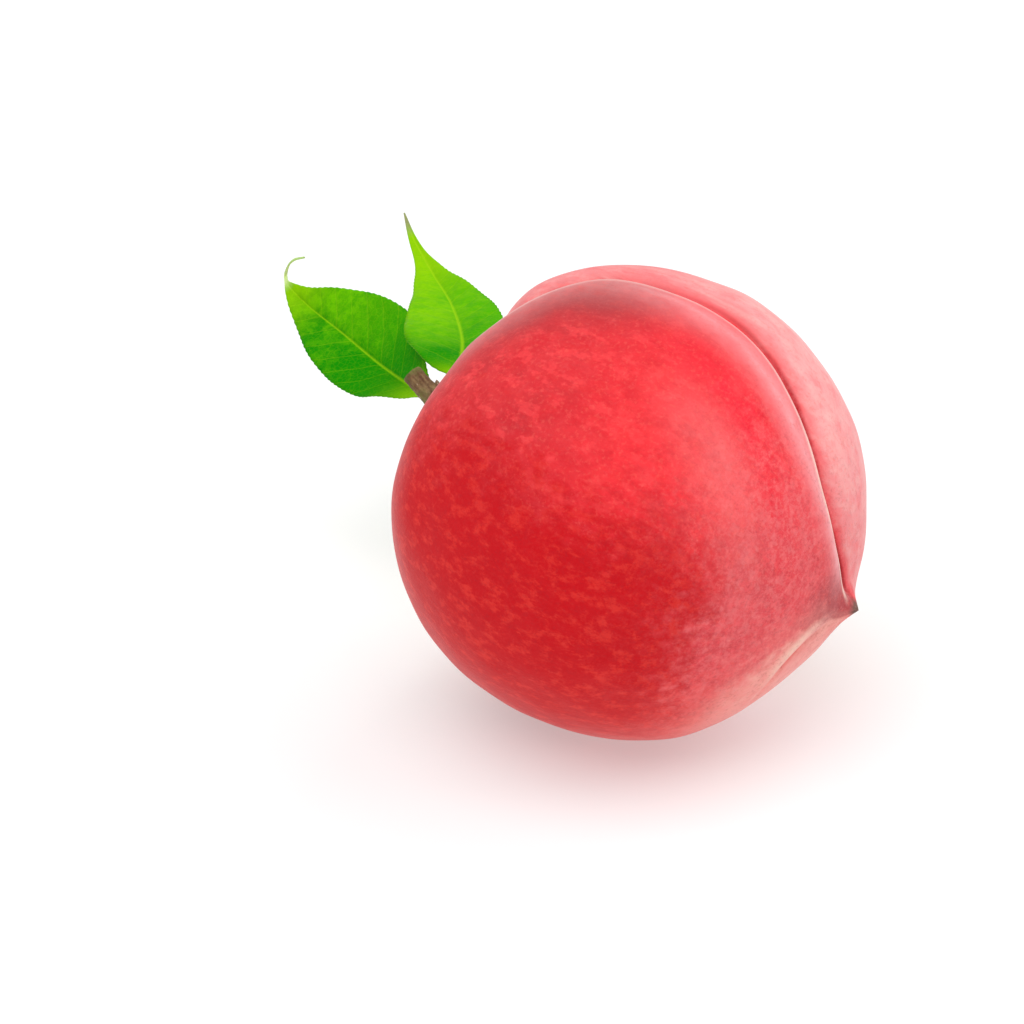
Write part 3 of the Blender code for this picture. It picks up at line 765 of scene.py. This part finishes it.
def leaf_material(name, light, deep, tip, dry_from, dry_to, lit_side, base_from, base_to):
    """Fresh green, paler at the midrib and the side veins, deeper at the base, with painted shade
    on the side away from the lit one, dry at the tip, paler below. Lengths along and across the
    leaf are in millimetres."""
    g = Graph(name)
    mark = g.attribute("leaf")
    along, across, half = g.split(mark)
    place = g.scaled(g.node("ShaderNodeTexCoord", {}).outputs["Object"], 1000.0, 1000.0, 1000.0)
    out = g.math("ABSOLUTE", across)
    lean = g.plus(g.times(out, VEIN_LEAN), g.times(out, out, VEIN_BEND / 1000))
    phase = g.ratio(g.minus(along, lean), VEIN_PITCH * 1000)
    phase = g.plus(phase, g.times(g.math("SIGN", across), 0.5))
    phase = g.plus(phase, g.times(g.minus(g.noise(place, 0.25), 0.5), 0.25))
    vein = g.step(g.math("PINGPONG", phase, 0.5), 0.06, 0.0)
    midrib = g.step(out, g.between(along, 5.0, dry_to, 0.70, 0.25), 0.10)
    cells = {"Vector": mark, "Scale": 1.1}
    cells = g.node("ShaderNodeTexVoronoi", cells, feature="DISTANCE_TO_EDGE").outputs[0]
    net = g.step(cells, 0.09, 0.0)
    patch = g.step(g.noise(place, 0.11, 3.0), 0.35, 0.68)
    speckle = g.step(g.noise(g.scaled(place, 1.0, -1.0, 1.0), 0.55, 4.0, 0.65), 0.38, 0.62)
    # Painted shade: the half of the blade away from lit_side is mixed towards the deep green.
    shaded = g.times(g.step(across, 3.0 * lit_side, -3.5 * lit_side), 0.74)
    colour = g.mix(g.minus(g.plus(g.times(g.plus(patch, speckle), 0.46), shaded), 0.20), light, deep)
    colour = g.mix(g.step(g.plus(along, g.times(patch, 8.0)), base_from, base_to), colour, LEAF_BASE)
    narrow = g.math("POWER", g.step(g.math("ABSOLUTE", half), 9.0, 1.0), 2.0)
    colour = g.mix(g.times(narrow, 0.7), colour, LEAF_YELLOW)
    for share, most in ((net, 0.12), (vein, 0.17), (midrib, 0.65)):
        colour = g.mix(g.times(share, most), colour, LEAF_VEIN)
    colour = g.mix(g.step(along, dry_from, dry_to), colour, tip)
    colour = g.mix(g.times(g.step(half, 0.01, -0.01), 0.45), colour, LEAF_PALE)
    height = g.plus(g.times(vein, -0.6), g.times(net, -0.25), g.times(g.noise(place, 2.5), 0.25))
    bump = g.bump(height, 0.00012, 0.7)
    return g.finish(Base_Color=colour, Roughness=0.42, Specular_IOR_Level=0.015, Normal=bump)


# Each leaf's green on its lit side and on its side of painted shade, and the colour of its dry tip, in
# millimetres along it; then which side is lit, and where the deeper base fades.
LEAF_LOOKS = {
    "leaf_right": {
        "light": (0.20, 0.54, 0.001), "deep": (0.080, 0.41, 0.001), "tip": (0.30, 0.33, 0.13),
        "dry_from": 66.0, "dry_to": 71.0, "lit_side": 1.0, "base_from": 38.0, "base_to": 12.0,
    },
    "leaf_left": {
        "light": (0.135, 0.50, 0.001), "deep": (0.006, 0.25, 0.001), "tip": (0.62, 0.78, 0.30),
        "dry_from": 64.5, "dry_to": 69.0, "lit_side": -1.0, "base_from": 60.0, "base_to": 26.0,
    },
}
LEAF_BASE = (0.010, 0.25, 0.001)
LEAF_YELLOW = (0.30, 0.60, 0.002)
LEAF_VEIN = (0.34, 0.64, 0.008)
LEAF_PALE = (0.25, 0.50, 0.10)


# ---- twig

TWIG_STEPS, TWIG_SIDES = 240, 84
CUT_RINGS, CUT_DISH = (0.97, 0.84, 0.60, 0.36, 0.16), 0.00010
CUT_EDGE, CUT_ROUNDING = 0.0003, 0.07
BARK_RIDGES = ((0.022, 7, 500.0, 0.0), (0.014, 13, -800.0, 1.0))
BARK_RINGS = ((0.012, 3800.0, 1.5, 0.0), (0.008, 9100.0, 2.0, math.pi / 2))
CUSHION_HEIGHT, CUSHION_LENGTH, CUSHION_WIDTH = 0.00060, 0.0015, 0.0011
LENTICELS, LENTICEL_HEIGHT, LENTICEL_LENGTH, LENTICEL_WIDTH = 46, 0.00007, 0.00030, 0.00014
BUD_LENGTH, BUD_RADIUS, BUD_STEPS, BUD_SIDES = 0.0024, 0.00072, 36, 32
BUD_AHEAD, BUD_LEAN = 0.0016, 0.62


def across_line(forward):
    """Two directions at right angles to a line and to each other."""
    side = np.cross(forward, (0.0, 0.0, 1.0))
    side /= np.linalg.norm(side, axis=-1)[..., None]
    return side, np.cross(side, forward)


def sweep(middle, forward, radius):
    """Rings of points round a line, and each point's place in the line's own axes."""
    side, top = across_line(forward)
    turn = np.linspace(0.0, 2 * math.pi, radius.shape[1], endpoint=False)
    off_side, off_top = radius * np.cos(turn), radius * np.sin(turn)
    rings = middle[:, None] + off_side[..., None] * side[:, None] + off_top[..., None] * top[:, None]
    along = np.concatenate([[0.0], np.cumsum(np.linalg.norm(np.diff(middle, axis=0), axis=1))])
    return rings, np.stack([along[:, None] + 0 * radius, off_side, off_top], axis=-1)


def ring_faces(rows, sides, first):
    """Faces of a closed skin over rings of points."""
    corner = first + np.arange(rows * sides).reshape(rows, sides)
    after = np.roll(corner, -1, axis=1)
    quads = np.stack([corner[:-1], corner[1:], after[1:], after[:-1]], -1).reshape(-1, 4)
    return quads.tolist() + [corner[0, ::-1].tolist(), corner[-1].tolist()]


def twig_swelling(line, forward, along, turn):
    """How much the bark stands out: the cushions under the leaves, and the lenticels."""
    side, top = across_line(forward)

    def off(round_to):
        return TWIG_RADIUS * ((turn - round_to + math.pi) % (2 * math.pi) - math.pi)

    cushion = np.zeros((len(line), len(turn)))
    for leaf in LEAVES.values():
        row = np.linalg.norm(line - leaf["midrib"][0], axis=1).argmin()
        towards = np.array(leaf["midrib"][0]) - line[row]
        round_to = math.atan2(towards @ top[row], towards @ side[row])
        bump = bell(along, along[row], CUSHION_LENGTH)[:, None]
        cushion = np.maximum(cushion, bump * bell(off(round_to), 0.0, CUSHION_WIDTH))
    lenticel = np.zeros_like(cushion)
    rng = np.random.default_rng(11)
    for _ in range(LENTICELS):
        at, round_to = rng.uniform(0.0, along[-1]), rng.uniform(0.0, 2 * math.pi)
        stretch = rng.uniform(0.7, 1.3)
        bump = bell(along, at, LENTICEL_LENGTH * stretch)[:, None]
        lenticel = np.maximum(lenticel, bump * bell(off(round_to), 0.0, LENTICEL_WIDTH * stretch))
    return cushion, lenticel


def bud_rings(line, forward, leaf):
    """A pointed bud with overlapping scales, on the twig just past a leaf's cushion."""
    row = np.linalg.norm(line - leaf["midrib"][0], axis=1).argmin()
    out = np.array(leaf["midrib"][0]) - line[row]
    out -= forward[row] * (out @ forward[row])
    out /= np.linalg.norm(out)
    foot = line[row] + BUD_AHEAD * forward[row] + 0.86 * TWIG_RADIUS * out
    way = forward[row] + BUD_LEAN * out
    way /= np.linalg.norm(way)
    share = np.linspace(0.0, 1.0, BUD_STEPS + 1)
    middle = foot + BUD_LENGTH * share[:, None] * way
    turn = np.linspace(0.0, 2 * math.pi, BUD_SIDES, endpoint=False)
    outline = (1.0 - share ** 2.2) ** 0.8 * (0.72 + 0.5 * share - 0.4 * share ** 2) + 0.03
    scale = (2.6 * share[:, None] + 0.5 * np.sin(turn)) % 1.0
    radius = BUD_RADIUS * outline[:, None] * (1.0 - 0.12 * scale ** 3)
    return sweep(middle, np.tile(way, (len(middle), 1)), radius)


def bark_radius(along, turn, length):
    """The ridged and cracked bark, flared at the fruit and rounded off at the cut."""
    swell = 1.0 + TWIG_FLARE * bell(along, 0.0, TWIG_FLARE_LENGTH)
    swell = swell + TWIG_NODE_SWELL * bell(along, TWIG_NODE_AT, TWIG_NODE_LENGTH)
    for height, count, twist, start in BARK_RIDGES:
        swell = swell + height * np.sin(count * turn + twist * along + start)
    for height, pace, sway, start in BARK_RINGS:
        swell = swell + height * np.sin(pace * along + sway * np.sin(turn + start))
    return TWIG_RADIUS * swell * (1.0 - CUT_ROUNDING * ramp(length - CUT_EDGE, length, along))


def make_twig(bark, wood):
    """A tube of ridged bark with cushions under the leaves, lenticels, a bud above each leaf,
    and a cut end of pale wood. Each point keeps its place along and across the twig, and how
    far it belongs to a lenticel, a cushion or a bud."""
    line, length = smooth_line(TWIG_LINE, TWIG_STEPS + 1)
    forward = np.gradient(line, axis=0)
    forward /= np.linalg.norm(forward, axis=1)[:, None]
    along = np.linspace(0.0, length, TWIG_STEPS + 1)
    turn = np.linspace(0.0, 2 * math.pi, TWIG_SIDES, endpoint=False)
    cushion, lenticel = twig_swelling(line, forward, along, turn)
    radius = bark_radius(along[:, None], turn, length)
    radius = radius + CUSHION_HEIGHT * cushion + LENTICEL_HEIGHT * lenticel
    middle, ahead = line, forward
    for share in CUT_RINGS:
        dish = CUT_DISH * (1.0 - (2.0 * share - 1.0) ** 2)
        middle = np.vstack([middle, line[-1] - dish * forward[-1]])
        ahead = np.vstack([ahead, forward[-1]])
        radius = np.vstack([radius, share * radius[TWIG_STEPS]])
    rings, place = sweep(middle, ahead, radius)
    faces = ring_faces(*radius.shape, 0)
    kinds = [int(k // TWIG_SIDES >= TWIG_STEPS) for k in range(len(faces))]
    kinds[-2:] = [0, 1]
    marks = np.zeros(place.shape)
    marks[:TWIG_STEPS + 1, :, 0], marks[:TWIG_STEPS + 1, :, 1] = lenticel, cushion
    points, places, marks = rings.reshape(-1, 3), place.reshape(-1, 3), marks.reshape(-1, 3)
    for leaf in LEAVES.values():
        rings, place = bud_rings(line, forward, leaf)
        made = ring_faces(*rings.shape[:2], len(points))
        faces, kinds = faces + made, kinds + [0] * len(made)
        points = np.vstack([points, rings.reshape(-1, 3)])
        places = np.vstack([places, place.reshape(-1, 3)])
        marks = np.vstack([marks, np.tile((0.0, 0.0, 1.0), (rings.shape[0] * rings.shape[1], 1))])
    mesh = bpy.data.meshes.new("twig_wood")
    mesh.from_pydata(points.tolist(), [], faces)
    store(mesh, "twig", 1000.0 * places)
    store(mesh, "bark", marks)
    twig = add_piece("twig_wood", mesh, bark)
    mesh.materials.append(wood)
    mesh.polygons.foreach_set("material_index", kinds)
    mesh.shade_smooth()
    mesh.set_sharp_from_angle(angle=math.radians(50))
    return twig


def bark_material():
    """Brown bark, greener at the leaf cushions, with pale lenticels and downy buds."""
    g = Graph("twig_bark")
    place = g.attribute("twig")
    lenticel, cushion, bud = g.split(g.attribute("bark"))
    stretched = g.scaled(place, 0.35, 1.0, 1.0)
    tone = g.step(g.noise(stretched, 0.9, 5.0, 0.65), 0.36, 0.66)
    colour = g.mix(tone, BARK_BROWN, BARK_TAN)
    colour = g.mix(g.times(g.step(g.noise(place, 0.35, 3.0), 0.44, 0.66), 0.55), colour, BARK_GREEN)
    colour = g.mix(g.times(cushion, 0.65), colour, BARK_GREEN)
    colour = g.mix(g.times(g.step(lenticel, 0.25, 0.75), 0.80), colour, LENTICEL_TAN)
    down = g.step(g.noise(g.scaled(place, 0.4, 1.0, 1.0), 5.0, 3.0, 0.7), 0.42, 0.66)
    colour = g.mix(bud, colour, g.mix(g.times(down, 0.7), BUD_BROWN, BUD_DOWN))
    grain = g.noise(stretched, 2.4, 4.0, 0.65)
    bump = g.bump(grain, 0.0002, 0.8)
    return g.finish(Base_Color=colour, Roughness=0.75, Specular_IOR_Level=0.25, Normal=bump)


def wood_material():
    """The cut: pith, faint rings, and the green layer under the bark."""
    g = Graph("cut_wood")
    _, side, top = g.split(g.attribute("twig"))
    radius = g.math("SQRT", g.plus(g.times(side, side), g.times(top, top)))
    grain = g.noise(g.attribute("twig"), 3.0, 3.0)
    uneven = g.plus(radius, g.times(grain, 0.25))
    ring = g.math("PINGPONG", uneven, 0.16)
    colour = g.mix(g.step(ring, 0.02, 0.14), WOOD_PALE, WOOD_RING)
    colour = g.mix(g.step(uneven, 0.62, 0.42), colour, PITH)
    colour = g.mix(g.times(g.step(uneven, 1.48, 1.62), 0.75), colour, BARK_GREEN)
    bump = g.bump(grain, 0.0001, 0.6)
    return g.finish(Base_Color=colour, Roughness=0.8, Specular_IOR_Level=0.2, Normal=bump)


BARK_BROWN, BARK_TAN = (0.105, 0.050, 0.022), (0.25, 0.165, 0.075)
BARK_GREEN = (0.16, 0.19, 0.045)
LENTICEL_TAN = (0.50, 0.38, 0.24)
BUD_BROWN, BUD_DOWN = (0.15, 0.075, 0.035), (0.46, 0.37, 0.28)
WOOD_PALE, WOOD_RING, PITH = (0.74, 0.63, 0.40), (0.56, 0.47, 0.25), (0.45, 0.31, 0.16)


# ---- floor, light, camera

def floor_material():
    """A white sheet, lit a little from below."""
    return Graph("white_floor").finish(
        Base_Color=FLOOR_GREY, Roughness=0.9, Specular_IOR_Level=0.2,
        Emission_Color=(1.0, 1.0, 1.0, 1.0), Emission_Strength=FLOOR_GLOW)


def make_floor():
    bpy.ops.mesh.primitive_plane_add(size=12.0, location=(0.0, 0.0, 0.0))
    floor = bpy.context.object
    floor.name = "floor"
    floor.data.materials.append(floor_material())


def add_sun(name, towards, power, width, colour=(1.0, 1.0, 1.0)):
    """A soft light, as wide in degrees as a large diffuser looks from the fruit."""
    light = bpy.data.lights.new(name, "SUN")
    light.energy = power
    light.angle = math.radians(width)
    light.color = colour
    lamp = bpy.data.objects.new(name, light)
    lamp.rotation_euler = Vector(towards).to_track_quat("Z", "Y").to_euler()
    bpy.context.scene.collection.objects.link(lamp)


def make_light():
    world = bpy.data.worlds.new("white_room")
    world.use_nodes = True
    background = world.node_tree.nodes["Background"]
    background.inputs["Color"].default_value = (1.0, 1.0, 1.0, 1.0)
    background.inputs["Strength"].default_value = WORLD_STRENGTH
    bpy.context.scene.world = world
    for lamp in LAMPS:
        add_sun(*lamp)


WORLD_STRENGTH = 0.36
FLOOR_GREY, FLOOR_GLOW = (0.62, 0.62, 0.62, 1.0), 0.36
LAMPS = (
    ("front_diffuser", (-0.05, -0.36, 0.93), 2.1, 60.0),
    ("right_diffuser", (0.45, 0.50, 0.74), 1.05, 60.0),
)


def make_camera():
    """At the photograph's viewing angle, aimed to the left of the fruit to leave its leaves room."""
    turn, rise = math.radians(CAMERA_TURN), math.radians(CAMERA_RISE)
    back = Vector((math.sin(turn) * math.cos(rise), -math.cos(turn) * math.cos(rise), math.sin(rise)))
    right = Vector((math.cos(turn), math.sin(turn), 0.0))
    up = back.cross(right)
    aim = FRUIT_CENTRE - CAMERA_AIM_LEFT * right - CAMERA_AIM_DOWN * up
    data = bpy.data.cameras.new("camera")
    data.lens = CAMERA_LENS
    data.clip_start = 0.01
    camera = bpy.data.objects.new("camera", data)
    camera.location = aim + CAMERA_DISTANCE * back
    camera.rotation_euler = back.to_track_quat("Z", "Y").to_euler()
    bpy.context.scene.collection.objects.link(camera)
    bpy.context.scene.camera = camera


# ---- the scene

def place_piece(piece, node):
    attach(piece, "root")
    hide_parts(node)


make_camera()
place_piece(make_fruit(skin_material()), "fruit")
for leaf_name, leaf in LEAVES.items():
    green = leaf_material(leaf_name + "_green", **LEAF_LOOKS[leaf_name])
    place_piece(make_leaf(leaf_name + "_blade", leaf, green), leaf_name)
place_piece(make_twig(bark_material(), wood_material()), "twig")
make_floor()
make_light()
bpy.context.scene.view_settings.view_transform = "Standard"
